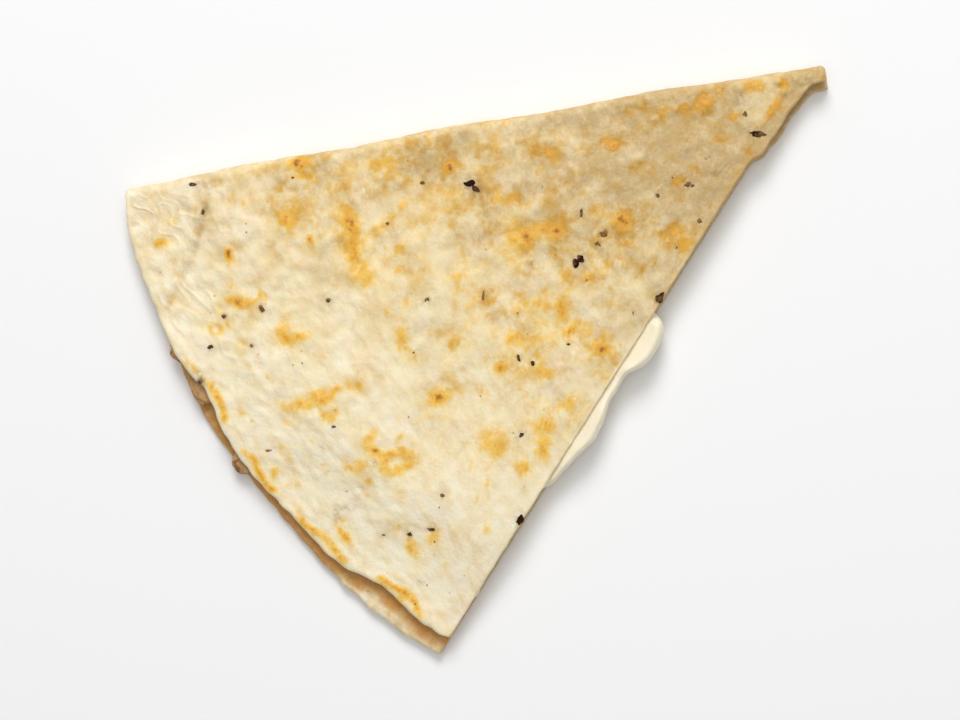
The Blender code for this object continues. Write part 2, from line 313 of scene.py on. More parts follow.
# griddle marks that stand out most, in mm: along, inward, long, wide, turn, strength, ring
topMarks = [
    (8.8, 7.6, 2.8, 0.9, 50, 0.75, 0),
    (5.6, 2.8, 0.9, 1.5, 0, 0.8, 0),
    (19.5, 1.8, 1.0, 1.3, 0, 0.45, 0),
    (35.5, 2.5, 1.6, 1.1, 0, 0.45, 0),
    (11.8, 2.2, 1.9, 1.0, 160, 0.8, 0),
    (22.8, 4.0, 2.3, 1.9, 80, 0.65, 1),
    (22.9, 3.7, 0.8, 0.7, 0, 0.7, 0),
    (27.5, 4.2, 1.4, 1.0, 0, 0.5, 0),
    (31.9, 4.5, 1.4, 1.8, 0, 0.5, 0),
    (17.2, 8.0, 0.9, 0.8, 0, 0.75, 0),
    (21.3, 12.0, 1.6, 1.0, 0, 0.6, 0),
    (15.5, 15.5, 1.6, 1.0, 170, 0.5, 0),
    (31.0, 19.6, 1.4, 0.8, 0, 0.75, 0),
    (44.0, 9.0, 2.4, 1.3, 0, 0.6, 0),
    (44.2, 25.6, 2.3, 1.7, 20, 1.0, 0),
    (31.6, 32.8, 1.7, 1.3, 60, 0.8, 0),
    (57.8, 25.4, 2.0, 1.5, 0, 0.8, 0),
    (61.5, 24.4, 2.6, 1.2, 165, 0.6, 0),
    (64.9, 26.2, 1.6, 1.4, 0, 0.6, 0),
    (57.8, 8.2, 3.0, 1.1, 150, 0.5, 0),
    (67.6, 16.7, 2.5, 1.2, 0, 0.5, 0),
    (78.8, 7.9, 1.3, 1.2, 0, 1.0, 0),
    (53.4, 36.6, 1.0, 0.8, 0, 0.9, 0),
    (59.6, 42.0, 1.9, 1.4, 70, 0.7, 0),
    (64.5, 40.0, 0.9, 0.8, 0, 0.7, 0),
    (58.9, 47.0, 1.0, 0.8, 0, 0.85, 0),
    (53.0, 51.5, 1.7, 1.0, 160, 0.95, 0),
    (70.9, 46.2, 1.9, 1.3, 0, 0.6, 0),
    (74.9, 52.2, 1.4, 1.2, 60, 0.85, 0),
    (65.5, 54.6, 2.6, 1.2, 150, 0.5, 0),
    (62.2, 62.0, 1.8, 0.9, 0, 0.65, 0),
    (67.3, 65.7, 1.5, 0.7, 170, 1.05, 0),
    (68.4, 70.0, 2.6, 1.5, 70, 0.65, 0),
    (73.6, 74.0, 1.8, 1.1, 140, 0.75, 0),
    (78.2, 67.2, 3.4, 2.7, 0, 0.5, 0),
    (88.7, 56.2, 2.0, 1.5, 10, 1.1, 0),
    (92.2, 23.6, 0.9, 0.9, 0, 0.8, 0),
    (92.8, 4.6, 2.2, 1.2, 0, 0.6, 0),
    (94.5, 42.5, 2.8, 1.5, 80, 0.5, 0),
    (101.8, 15.7, 3.2, 1.5, 100, 0.95, 0),
    (102.0, 22.4, 3.0, 1.6, 95, 0.75, 0),
    (100.5, 28.0, 3.0, 2.2, 120, 0.5, 0),
    (99.8, 68.2, 4.0, 2.6, 10, 0.65, 1),
    (100.0, 86.6, 2.3, 1.1, 100, 0.65, 0),
    (94.8, 85.6, 1.6, 1.5, 0, 0.65, 0),
    (110.3, 1.4, 1.9, 1.3, 0, 1.2, 0),
    (110.7, 18.2, 0.9, 0.7, 90, 0.85, 0),
    (115.3, 12.8, 2.2, 1.5, 130, 0.75, 0),
    (117.0, 38.4, 2.6, 1.1, 0, 0.75, 0),
    (119.6, 36.6, 3.2, 1.2, 80, 0.5, 0),
    (113.8, 52.0, 1.7, 1.5, 0, 0.6, 0),
    (117.7, 52.8, 2.0, 1.3, 0, 0.75, 0),
    (106.0, 50.7, 1.9, 1.5, 0, 0.5, 0),
    (114.0, 81.8, 2.4, 0.8, 115, 0.8, 0),
    (127.6, 29.0, 2.7, 1.2, 155, 0.95, 0),
    (128.8, 18.0, 0.9, 0.9, 0, 0.95, 0),
    (126.6, 66.0, 1.4, 0.8, 60, 0.65, 0),
    (143.8, 13.0, 1.3, 1.0, 0, 0.85, 0),
]
# burnt flecks that stand out most: along, inward, long, wide, turn, and 1 for black
topFlecks = [
    (14.8, 7.8, 0.6, 0.5, 90, 0.6),
    (13.0, 12.3, 1.5, 0.6, 165, 1.0),
    (28.9, 20.6, 1.0, 0.6, 0, 0.6),
    (35.8, 21.8, 0.5, 0.4, 60, 0.6),
    (28.0, 28.5, 0.5, 0.4, 0, 0.7),
    (48.3, 27.6, 0.8, 0.7, 0, 0.6),
    (50.0, 29.4, 0.8, 0.55, 120, 0.8),
    (39.0, 43.2, 1.2, 0.75, 45, 1.0),
    (52.3, 22.4, 0.9, 0.3, 75, 0.8),
    (54.1, 32.1, 0.8, 0.8, 60, 0.9),
    (55.2, 32.9, 0.9, 0.7, 90, 1.0),
    (74.9, 12.4, 1.1, 0.8, 150, 1.0),
    (73.7, 13.6, 0.9, 0.6, 130, 1.0),
    (84.9, 10.2, 0.6, 0.35, 0, 0.5),
    (93.7, 17.6, 0.35, 0.3, 0, 0.5),
    (87.8, 35.3, 0.6, 0.5, 30, 0.7),
    (75.9, 36.6, 0.9, 0.35, 70, 0.5),
    (67.7, 52.3, 0.4, 0.6, 0, 0.8),
    (70.5, 50.6, 0.35, 0.7, 0, 0.8),
    (59.6, 49.6, 0.4, 0.25, 0, 0.7),
    (72.6, 66.9, 0.5, 0.45, 0, 0.8),
    (76.0, 84.6, 1.1, 0.8, 50, 1.0),
    (91.2, 76.8, 0.45, 0.4, 0, 0.5),
    (94.6, 83.6, 1.1, 0.35, 170, 0.7),
    (99.7, 83.8, 0.5, 0.45, 0, 0.9),
    (105.4, 83.0, 0.35, 0.25, 0, 0.5),
    (108.9, 31.6, 0.6, 0.4, 0, 0.8),
    (112.0, 58.6, 0.45, 0.35, 0, 0.6),
    (123.5, 30.8, 0.9, 0.6, 110, 0.5),
    (126.9, 61.2, 0.7, 0.35, 0, 0.5),
    (127.0, 38.5, 0.4, 0.35, 0, 0.5),
    (131.9, 31.2, 0.5, 0.4, 0, 0.9),
    (136.0, 37.2, 0.55, 0.45, 0, 0.8),
    (133.3, 8.4, 0.9, 0.35, 60, 0.6),
    (134.3, 1.8, 0.9, 0.4, 170, 0.9),
    (139.4, 44.3, 0.6, 0.4, 70, 0.7),
]
# soot wiped over the surface: along, inward, long, wide, turn, strength, no ring
smudges = [
    (15.3, 4.0, 1.5, 0.6, 70, 0.8, 0),
    (24.0, 15.5, 0.8, 0.5, 150, 0.6, 0),
    (23.0, 19.2, 1.3, 0.6, 0, 0.5, 0),
    (28.0, 13.0, 1.0, 0.6, 60, 0.4, 0),
    (64.5, 31.4, 0.9, 0.7, 0, 0.4, 0),
    (72.8, 19.4, 1.2, 1.0, 0, 0.4, 0),
    (104.2, 67.6, 1.0, 0.7, 60, 0.45, 0),
    (111.8, 76.0, 2.0, 0.8, 0, 0.35, 0),
    (115.0, 77.5, 0.8, 1.6, 0, 0.4, 0),
    (115.0, 62.6, 0.8, 0.6, 0, 0.4, 0),
    (139.6, 44.2, 1.7, 1.2, 70, 0.75, 0),
    (99.0, 94.4, 0.7, 0.4, 0, 0.7, 0),
]


# browned spots on the lower leaf's border, with the same values
rimSpots = [
    (113.2, 92.8, 1.3, 0.5, 130, 0.9, 0),
    (117.6, 86.6, 1.6, 0.7, 130, 0.8, 0),
    (102.3, 103.3, 0.6, 0.4, 0, 0.6, 0),
    (100.3, 104.6, 0.6, 0.4, 0, 0.5, 0),
    (106.5, 101.5, 1.0, 0.3, 130, 0.4, 0),
]


def scatter(seed, count, low, high):
    # random places in the wedge, even in area, with sizes that are mostly near the low one
    dice = np.random.default_rng(seed)
    radius = 146 * np.sqrt(dice.uniform(0.005, 0.97, count))
    angle = wedge["cutAngle"] * dice.uniform(0.03, 0.97, count)
    long = mix(low, high, dice.uniform(0, 1, count) ** 2.2)
    wide = long * dice.uniform(0.5, 0.9, count)
    turn = dice.normal(80, 40, count)
    return dice, [radius * np.cos(angle), radius * np.sin(angle), long, wide, turn]


def toastOf(marks, along, inward):
    # the sum of one bell, or ring, and a faint wide halo for each mark, times its strength
    toast = np.zeros(along.shape)
    for x, y, long, wide, turn, strength, ring in marks:
        turn = math.radians(turn)
        run = ((along - x) * math.cos(turn) + (inward - y) * math.sin(turn)) / long
        side = ((inward - y) * math.cos(turn) - (along - x) * math.sin(turn)) / wide
        reach = np.hypot(run, side)
        spot = mix(np.exp(-(reach**2.5)), bell(reach, 0.75, 0.35), ring)
        toast += strength * (spot + 0.22 * bell(reach, 0, 2.2))
    return toast


dice, row = scatter(41, 170, 0.5, 1.9)
smallMarks = np.stack(row + [dice.uniform(0.12, 0.5, 170), dice.integers(0, 4, 170) == 3], 1)
dice, row = scatter(43, 170, 1.0, 4.6)
underMarks = np.stack(row + [dice.uniform(0.5, 1.2, 170), dice.integers(0, 3, 170) == 2], 1)
dice, row = scatter(47, 22, 0.16, 0.32)
flecks = np.concatenate([np.array(topFlecks), np.stack(row + [dice.uniform(0.3, 0.8, 22)], 1)])
halos = np.concatenate([flecks * (1, 1, 1.5, 1.5, 1, 0.6), np.zeros((len(flecks), 1))], 1)
allMarks = np.concatenate([np.array(topMarks), smallMarks])


def creaseDistance(along, inward):
    # how far a place lies from the bent line where the leaf folded near its corner
    past = inward - 10
    return along - (133.5 + 0.42 * past + 0.012 * past**2)


def onRun(along, inward, squeeze):
    # plan places with the direction of the rim squeezed, so that waves run out along it
    c, s = math.cos(math.radians(24)), math.sin(math.radians(24))
    return plan(along * c + inward * s, squeeze * (inward * c - along * s))


def rimPlaces(along, inward):
    # radius, arc length round the rim, and distance in from the upper rim
    radius, angle = fromTip(along, inward)
    return radius, 150 * angle, upperRim(angle) - radius


def topRelief(along, inward):
    # what stands up from the smooth upper leaf: swells, wrinkles, pebbles, lines and marks
    at = plan(along, inward)
    radius, round, toRim = rimPlaces(along, inward)
    calm = smooth(1.15 - inward / 110)
    relief = 0.13 * waves(at, 19, 11) + 0.1 * calm * waves(at, 5.2, 12) + 0.04 * waves(at, 2.8, 15)
    bent = onRun(along, inward, 0.45) + 1.1 * plan(waves(at, 9, 28), waves(at, 8, 29))
    ridge = (1 - np.abs(waves(bent, 6.5, 16))).clip(0, 1) ** 2
    relief += 0.28 * calm * (ridge - 0.3) * smooth(0.6 + 0.7 * waves(at, 20, 19))
    relief += 0.05 * calm * waves(onRun(along, inward, 0.4), 3.4, 13) * smooth(radius / 60 - 0.6)
    line = np.sin(2.6 * toRim + 1.2 * waves(at, 16, 14))
    relief += 0.05 * line * smooth(1 - toRim / 10) * smooth(round / 50)
    bend = smooth((inward - 3) / 5) * smooth((32 - inward) / 6)
    crease = creaseDistance(along, inward)
    relief += (0.12 * bell(crease, -2.2, 1.6) - 0.34 * bell(crease, 0, 0.9)) * bend
    relief -= 0.4 * bell(np.hypot(along - 82, inward - 8), 0, 5)
    relief -= 0.25 * bell(np.hypot(along - 134, 3 * (inward - 43.2)), 0, 5)
    relief += 0.22 * waves(at, 2.4, 36) * smooth(1.3 - radius / 12)
    return relief + 0.1 * smooth(toastOf(topMarks, along, inward)) - 0.25


def rimToast(along, inward):
    # the broken toasted line that runs just in from the upper rim
    radius, round, toRim = rimPlaces(along, inward)
    held = smooth(0.9 + 0.7 * waves(round[..., None], 15, 23)) * smooth((round - 38) / 8)
    wander = 0.75 + 0.3 * waves(round[..., None], 14, 24)
    return 0.95 * held * bell(toRim, wander, 0.85)


def topMasks(along, inward):
    # toast, tan, flour and soot of the upper leaf; painted shade and the leaf's own tan make hollows
    # browner, painted light and flour make ridges paler
    at = plan(along, inward)
    radius, round, toRim = rimPlaces(along, inward)
    toast = toastOf(allMarks, along, inward) + rimToast(along, inward)
    toast += 0.25 * bell(radius, 78, 22) * smooth(0.7 + 0.5 * waves(at, 12, 26))
    toast += 0.15 * bell(np.hypot(along - 112, inward - 6), 0, 13)
    # relief without its slowest swells: painted shade in the hollows (more tan) and painted light on the
    # ridges (more flour)
    relief = topRelief(along, inward) + 0.25 - 0.13 * waves(at, 19, 11)
    tan = 0.06 + 0.68 * smooth(1.05 - radius / 122) + 0.3 * smooth(1 - inward / 28) - 0.5 * relief
    tan += 0.22 * bell(inward, 20, 9) * smooth(2.2 - radius / 40)
    tan -= 0.3 * bell(radius, 8, 16)
    tan += 0.1 * waves(at, 13, 21) + 0.06 * waves(onRun(along, inward, 0.5), 5, 22)
    # painted shade along the crease near the corner and in the hollow near along 82
    tan += 0.35 * bell(creaseDistance(along, inward), 0.4, 1.6) * smooth((32 - inward) / 6)
    tan += 0.45 * bell(np.hypot(along - 82, inward - 7), 0, 4.5)
    tan += 0.5 * bell(fromCut(along, inward), 0, 3) * smooth(1.6 - radius / 12)
    tan -= 0.3 * bell(np.hypot(along - 12, inward - 3), 0, 5)
    tan += 0.2 * bell(np.hypot(along - 112, inward - 6), 0, 13)
    # painted shade: a strip across the leaf near along 65
    tan += 0.35 * bell(inward + 0.2 * along, 29.4, 2.2) * bell(along, 65, 9)
    tan += 0.3 * bell(np.hypot(along - 26, inward - 16), 0, 12)
    flour = 0.25 + 0.15 * waves(at, 11, 24) + 0.5 * smooth(1 - toRim / 40) + 0.6 * relief
    flour += 0.45 * smooth(inward / 50 - 0.4) - 0.6 * smooth(1.2 - radius / 90)
    flour += 0.25 * bell(np.hypot(along - 55, inward - 10), 0, 17)
    soot = toastOf(halos, along, inward) + toastOf(smudges, along, inward)
    return toast, np.clip(tan, 0, 1), np.clip(flour, 0, 1), soot


def underMasks(along, inward):
    # the lower leaf lay on the griddle longer: larger, browner marks
    at = plan(along, inward)
    toast = toastOf(underMarks, along, inward)
    tan = np.clip(0.4 + 0.2 * waves(at, 14, 31), 0, 1)
    return toast, tan, np.clip(0.2 + 0.2 * waves(at, 10, 32), 0, 1), 0 * tan


def innerMasks(along, inward):
    # tan, flour and a brown band of the lower leaf's inner side, which shows past the upper rim; the
    # band is partly painted shade under the upper leaf, partly juice
    radius, angle = fromTip(along, inward)
    degrees, beyond = np.degrees(angle), radius - upperRim(angle)
    # how far the brown band reaches out from the upper rim: painted shade under it, with juice
    brownBandWidth = mix(6.5, 2.5, smooth((degrees - 31) / 6)) + 0.4 * waves(150 * angle[..., None], 7, 33)
    juiceAndShade = smooth(1.1 - (beyond - brownBandWidth) / 1.6) * smooth((degrees - 9) / 4) * smooth(2 + beyond / 8)
    # tan darker next to the upper rim and flour paler out at the border: painted shade and painted light
    # over the leaf's own colours
    tan = 1.15 - 0.14 * beyond + 0.15 * waves(plan(along, inward), 2.2, 34)
    flour = smooth((beyond - 3.2) / 1.5) * (0.6 + 0.4 * waves(plan(along, inward), 3, 35))
    juiceAndShade = np.maximum(0.95 * juiceAndShade, toastOf(rimSpots, along, inward))
    return np.clip(tan, 0, 1), np.clip(flour, 0, 1), juiceAndShade


def newMaterial(name, roughness, specular=0.5):
    # a Principled material and two short ways to add a node and to join sockets
    material = bpy.data.materials.new(name)
    material.use_nodes = True
    nodes = material.node_tree.nodes
    shader = nodes["Principled BSDF"]
    shader.inputs["Roughness"].default_value = roughness
    shader.inputs["Specular IOR Level"].default_value = specular
    return material, shader, Graph(material.node_tree)


class Graph:
    # nodes by short calls: each gives back the socket it puts out
    def __init__(self, tree):
        self.tree = tree

    def put(self, socket, value):
        if isinstance(value, bpy.types.NodeSocket):
            self.tree.links.new(value, socket)
        else:
            socket.default_value = value

    def node(self, kind, out, settings=None, **inputs):
        made = self.tree.nodes.new(kind)
        for key, value in (settings or {}).items():
            setattr(made, key, value)
        for key, value in inputs.items():
            self.put(made.inputs[key.replace("_", " ")], value)
        return made.outputs[out]

    def math(self, how, a, b=0.0):
        made = self.tree.nodes.new("ShaderNodeMath")
        made.operation = how
        self.put(made.inputs[0], a)
        self.put(made.inputs[1], b)
        return made.outputs[0]

    def mask(self, name):
        return self.node("ShaderNodeAttribute", "Fac", {"attribute_name": name})

    def ramp(self, value, low, high, to=(0, 1)):
        # low to high becomes 0 to 1, or `to`, with an S-curve between
        made = self.tree.nodes.new("ShaderNodeMapRange")
        made.interpolation_type = "SMOOTHSTEP"
        for key, v in zip((0, 1, 2, 3, 4), (value, low, high, *to)):
            self.put(made.inputs[key], v)
        return made.outputs[0]

    def blend(self, share, a, b, how="MIX"):
        made = self.tree.nodes.new("ShaderNodeMix")
        made.data_type = "RGBA"
        made.blend_type = how
        self.put(made.inputs["Factor"], share)
        for socket, value in ((made.inputs[6], a), (made.inputs[7], b)):
            self.put(socket, (*value, 1) if isinstance(value, tuple) else value)
        return made.outputs[2]

    def objectPlace(self, stretch=(1, 1, 1), turn=0.0):
        # the piece's own place, turned and then drawn out by `stretch`
        place = self.node("ShaderNodeTexCoord", "Object")
        settings = {"vector_type": "TEXTURE"}
        return self.node(
            "ShaderNodeMapping", 0, settings, Vector=place, Rotation=(0, 0, turn), Scale=stretch
        )

    def noise(self, place, size, detail=3.0, roughness=0.55):
        # noise about `size` metres across
        settings = {"noise_dimensions": "3D"}
        return self.node(
            "ShaderNodeTexNoise", 0, settings, Vector=place, Scale=1 / size, Detail=detail,
            Roughness=roughness,
        )


def makeGrain():
    # a group for all the food: fine height, slow tone and sparse specks at a given size
    tree = bpy.data.node_groups.new("foodGrain", "ShaderNodeTree")
    tree.interface.new_socket("Place", in_out="INPUT", socket_type="NodeSocketVector")
    tree.interface.new_socket("Fineness", in_out="INPUT", socket_type="NodeSocketFloat")
    for name in ("Height", "Tone", "Speck"):
        tree.interface.new_socket(name, in_out="OUTPUT", socket_type="NodeSocketFloat")
    graph = Graph(tree)
    given = tree.nodes.new("NodeGroupInput")
    result = tree.nodes.new("NodeGroupOutput")
    place, fineness = given.outputs["Place"], given.outputs["Fineness"]
    fine = graph.node("ShaderNodeTexNoise", 0, Vector=place, Scale=fineness, Detail=4.0, Roughness=0.6)
    slow = graph.math("MULTIPLY", fineness, 0.17)
    tone = graph.node("ShaderNodeTexNoise", 0, Vector=place, Scale=slow, Detail=4.0, Roughness=0.62)
    pits = graph.node(
        "ShaderNodeTexVoronoi", "Distance", Vector=place, Scale=graph.math("MULTIPLY", fineness, 0.42)
    )
    pits = graph.ramp(pits, 0.0, 0.34)
    height = graph.math("ADD", graph.math("MULTIPLY", fine, 0.65), graph.math("MULTIPLY", pits, 0.35))
    cells = tree.nodes.new("ShaderNodeTexVoronoi")
    graph.put(cells.inputs["Vector"], place)
    graph.put(cells.inputs["Scale"], graph.math("MULTIPLY", fineness, 0.14))
    chosen = graph.ramp(cells.outputs["Color"], 0.62, 0.7)
    speck = graph.math("MULTIPLY", graph.ramp(cells.outputs["Distance"], 0.09, 0.04), chosen)
    for name, value in (("Height", height), ("Tone", tone), ("Speck", speck)):
        graph.put(result.inputs[name], value)
    return tree


foodGrain = makeGrain()


def addGrain(graph, place, size):
    # the grain group at its own size in metres
    made = graph.tree.nodes.new("ShaderNodeGroup")
    made.node_tree = foodGrain
    graph.put(made.inputs["Place"], place)
    made.inputs["Fineness"].default_value = 1 / size
    return made.outputs["Height"], made.outputs["Tone"], made.outputs["Speck"]


# the tan, flour and juice colours also stand for painted shade and painted light where their masks carry
# it
tortillaColours = {
    "dough": (0.89, 0.745, 0.455),
    "flour": (0.96, 0.86, 0.665),
    "tan": (0.60, 0.445, 0.22),
    "warmTint": (1.0, 0.90, 0.66),
    "goldTint": (0.98, 0.79, 0.31),
    "orange": (0.78, 0.38, 0.03),
    "brown": (0.36, 0.14, 0.015),
    "soot": (0.30, 0.22, 0.15),
    "juiceAndShade": (0.58, 0.28, 0.065),
}


def tortillaMaterial():
    # dough marbled with tan and flour, whose masks also hold painted shade and painted light; noise
    # frays each mark from gold to orange and brown
    material, shader, graph = newMaterial("toastedTortilla", 0.68, 0.35)
    c = tortillaColours
    place = graph.objectPlace()
    height, tone, speck = addGrain(graph, place, 0.5 * mm)
    streaks = graph.noise(graph.objectPlace((1, 2.3, 1), math.radians(24)), 2.2 * mm, 5, 0.6)
    blotch = graph.noise(place, 1.6 * mm, 5, 0.6)
    cloud = graph.noise(place, 3.2 * mm, 2, 0.5)
    tan = graph.math("MULTIPLY", graph.mask("tan"), graph.ramp(blotch, 0.34, 0.66, (0.85, 1.15)))
    tan = graph.math("ADD", tan, graph.ramp(streaks, 0.32, 0.68, (-0.1, 0.13)))
    tan = graph.math("ADD", tan, graph.ramp(tone, 0.3, 0.7, (-0.09, 0.09)))
    grain = graph.noise(place, 0.7 * mm, 3, 0.7)
    grain = graph.math("MULTIPLY", graph.ramp(grain, 0.45, 0.72, (0, 0.25)), graph.mask("tan"))
    colour = graph.blend(tan, c["dough"], c["tan"])
    colour = graph.blend(grain, colour, c["brown"])
    flour = graph.math("MULTIPLY", graph.mask("flour"), graph.ramp(streaks, 0.68, 0.34, (0.35, 1)))
    colour = graph.blend(flour, colour, c["flour"])
    fray = graph.ramp(blotch, 0.26, 0.74, (0.55, 1.4))
    toast = graph.math("MULTIPLY", graph.mask("toast"), fray)
    golden = graph.ramp(graph.mask("tan"), 0, 0.6, (0.12, 0.3))
    toast = graph.math("ADD", toast, graph.math("MULTIPLY", graph.ramp(cloud, 0.38, 0.7), golden))
    toast = graph.math("ADD", toast, graph.ramp(height, 0.35, 0.75, (-0.05, 0.05)))
    colour = graph.blend(graph.ramp(toast, 0, 0.5), colour, c["warmTint"], "MULTIPLY")
    colour = graph.blend(graph.ramp(toast, 0.22, 0.8), colour, c["goldTint"], "MULTIPLY")
    colour = graph.blend(graph.ramp(toast, 0.72, 1.3), colour, c["orange"])
    colour = graph.blend(graph.ramp(toast, 1.15, 1.8), colour, c["brown"])
    soot = graph.math("MULTIPLY", graph.mask("soot"), graph.ramp(blotch, 0.34, 0.62))
    colour = graph.blend(soot, colour, c["soot"])
    juiceAndShade = graph.math("MULTIPLY", graph.mask("juiceAndShade"), graph.ramp(blotch, 0.3, 0.6, (0.65, 1)))
    colour = graph.blend(juiceAndShade, colour, c["juiceAndShade"])
    colour = graph.blend(graph.math("MULTIPLY", speck, 0.6), colour, c["brown"])
    graph.put(shader.inputs["Base Color"], colour)
    graph.put(shader.inputs["Roughness"], graph.ramp(toast, 0.6, 1.2, (0.7, 0.45)))
    relief = graph.math("ADD", graph.math("MULTIPLY", height, 0.5), graph.math("MULTIPLY", streaks, 1.3))
    relief = graph.math("ADD", relief, graph.math("MULTIPLY", blotch, 1.6))
    bump = graph.node("ShaderNodeBump", 0, Height=relief, Strength=0.6, Distance=0.26 * mm)
    graph.put(shader.inputs["Normal"], bump)
    shader.inputs["Subsurface Weight"].default_value = 0.4
    shader.inputs["Subsurface Radius"].default_value = (1.0, 0.55, 0.2)
    shader.inputs["Subsurface Scale"].default_value = 1.5 * mm
    return material


def cheeseMaterial():
    # cream melt: slow yellower patches, soft gloss and light that goes in
    material, shader, graph = newMaterial("meltedCheese", 0.3, 0.5)
    place = graph.objectPlace()
    height, tone, speck = addGrain(graph, place, 1.3 * mm)
    colour = graph.blend(graph.ramp(tone, 0.35, 0.7), (0.94, 0.86, 0.68), (0.93, 0.81, 0.58))
    colour = graph.blend(graph.math("MULTIPLY", speck, 0.6), colour, (0.5, 0.28, 0.09))
    graph.put(shader.inputs["Base Color"], colour)
    graph.put(shader.inputs["Roughness"], graph.ramp(height, 0.3, 0.8, (0.26, 0.42)))
    bump = graph.node("ShaderNodeBump", 0, Height=height, Strength=0.25, Distance=0.25 * mm)
    graph.put(shader.inputs["Normal"], bump)
    shader.inputs["Subsurface Weight"].default_value = 0.4
    shader.inputs["Subsurface Radius"].default_value = (1.0, 0.7, 0.35)
    shader.inputs["Subsurface Scale"].default_value = 2 * mm
    return material


def fillingMaterial():
    # browned crumbs: tan hollows, brown knobs and darker burnt ends
    material, shader, graph = newMaterial("brownedFilling", 0.5, 0.45)
    place = graph.objectPlace()
    height, tone, speck = addGrain(graph, place, 0.6 * mm)
    colour = graph.blend(graph.ramp(tone, 0.38, 0.66), (0.52, 0.30, 0.11), (0.38, 0.17, 0.045))
    colour = graph.blend(graph.ramp(height, 0.55, 0.75, (0, 0.4)), colour, (0.60, 0.40, 0.19))
    colour = graph.blend(graph.mask("char"), colour, (0.17, 0.045, 0.01))
    graph.put(shader.inputs["Base Color"], colour)
    graph.put(shader.inputs["Roughness"], graph.ramp(height, 0.35, 0.7, (0.38, 0.62)))
    bump = graph.node("ShaderNodeBump", 0, Height=height, Strength=0.8, Distance=0.3 * mm)
    graph.put(shader.inputs["Normal"], bump)
    return material


def fleckMaterial():
    # burnt black, or grey-brown where the fleck is thin
    material, shader, graph = newMaterial("burntFleck", 0.7, 0.05)
    height, tone, speck = addGrain(graph, graph.objectPlace(), 0.35 * mm)
    burnt = graph.math("ADD", graph.mask("burnt"), graph.ramp(tone, 0.4, 0.65, (0.15, -0.35)))
    colour = graph.blend(burnt, (0.46, 0.23, 0.08), (0.028, 0.009, 0.004))
    graph.put(shader.inputs["Base Color"], colour)
    graph.put(shader.inputs["Roughness"], graph.ramp(height, 0.3, 0.7, (0.55, 0.8)))
    bump = graph.node("ShaderNodeBump", 0, Height=height, Strength=0.7, Distance=0.15 * mm)
    graph.put(shader.inputs["Normal"], bump)
    return material


tortilla = {
    "cutSections": 132,
    "rimSections": 150,
    "underSteps": 90,
    "bendSteps": 14,
    "overSteps": 129,
    "lipSteps": 5,
    "cutRound": 0.35,
    "rimRound": 0.85,
    "endRound": 0.9,
}


def sectionEnds():
    # plan points of the upper edge, lower edge and fold, from the tip to the corner
    corner = math.asin(wedge["cornerBlunt"] / wedge["foldSide"])
    share = np.linspace(0, 1, tortilla["cutSections"] + 1) ** 1.35
    angle = np.linspace(0, 1, tortilla["rimSections"] + 1)[1:]
    angle = mix(wedge["cutAngle"], corner, 1 - (1 - angle) ** 1.25)
    edges = []
    for rim, flare, nub in (
        (upperRim, wedge["upperFlare"], wedge["upperNub"]),
        (lowerRim, wedge["lowerFlare"], wedge["lowerNub"]),
    ):
        end = rim(np.array([wedge["cutAngle"]]))[0] * math.cos(wedge["cutAngle"])
        along = mix(-wedge["nubLength"], end, share)
        cut = plan(along, cutEdge(along, flare, nub))
        roundRim = rim(angle)[:, None] * plan(np.cos(angle), np.sin(angle))
        edges.append(np.concatenate([cut, roundRim]))
    upper, lower = edges
    last = upper[tortilla["cutSections"], 0]
    rest = 1 - (1 - np.linspace(0, 1, tortilla["rimSections"] + 1)[1:]) ** 1.25
    toCut = upper[: tortilla["cutSections"] + 1, 0]
    along = np.concatenate([toCut, mix(last, wedge["foldSide"] - 0.2, rest)])
    return upper, lower, plan(along, foldLine(along) + wedge["foldDepth"])


